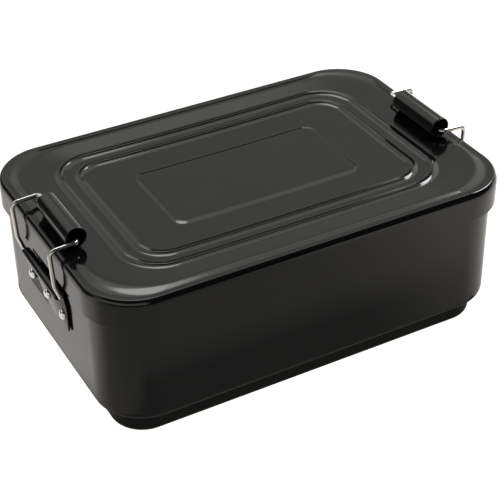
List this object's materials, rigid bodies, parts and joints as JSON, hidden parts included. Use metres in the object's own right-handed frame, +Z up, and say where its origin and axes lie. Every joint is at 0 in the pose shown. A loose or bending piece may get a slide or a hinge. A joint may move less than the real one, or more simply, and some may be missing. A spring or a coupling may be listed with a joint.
{
  "type": "lunch box",
  "caption": "Rectangular pressed-metal food box with rounded corners, a loose stepped lid, and a wire bail with a roller grip at each end that clamps the lid down.",
  "frame": {"origin": "centre of the underside of the foot", "axes": "+X along the length towards the right bail, +Y towards the back long side, +Z up"},
  "size_m": [0.1888, 0.1232, 0.0768],
  "materials": {
    "black_gloss_paint": "gloss",
    "bright_wire": "bright drawn wire",
    "rivet_aluminium": "satin"
  },
  "bodies": {
    "tray_body": {"tray": "black_gloss_paint", "left_bracket": "black_gloss_paint", "right_bracket": "black_gloss_paint", "left_front_rivet": "rivet_aluminium", "left_middle_rivet": "rivet_aluminium", "left_rear_rivet": "rivet_aluminium", "right_front_rivet": "rivet_aluminium", "right_middle_rivet": "rivet_aluminium", "right_rear_rivet": "rivet_aluminium"},
    "lid_body": {"lid": "black_gloss_paint"},
    "left_bail_body": {"left_bail": "bright_wire"},
    "left_roller_body": {"left_roller": "black_gloss_paint"},
    "right_bail_body": {"right_bail": "bright_wire"},
    "right_roller_body": {"right_roller": "black_gloss_paint"}
  },
  "joints": [
    {"name": "left_bail_swing", "type": "hinge", "parent": "tray_body", "child": "left_bail_body", "pos_m": [-0.09075, 0, 0.0483], "axis": [0, -1, 0], "range_deg": [0, 160]},
    {"name": "right_bail_swing", "type": "hinge", "parent": "tray_body", "child": "right_bail_body", "pos_m": [0.09075, 0, 0.0483], "axis": [0, 1, 0], "range_deg": [0, 160]},
    {"name": "lid_lift", "type": "slide", "parent": "tray_body", "child": "lid_body", "axis": [0, 0, 1], "range_m": [0, 0.0139]},
    {"name": "left_roller_spin", "type": "hinge", "parent": "left_bail_body", "child": "left_roller_body", "pos_m": [-0.082, 0, 0.0724], "axis": [0, 1, 0], "continuous": true},
    {"name": "right_roller_spin", "type": "hinge", "parent": "right_bail_body", "child": "right_roller_body", "pos_m": [0.082, 0, 0.0724], "axis": [0, 1, 0], "continuous": true}
  ],
  "couplings": [
    {"joint": "left_bail_swing", "follows": "lid_lift", "rad_per_m": 200},
    {"joint": "right_bail_swing", "follows": "lid_lift", "rad_per_m": 200}
  ]
}
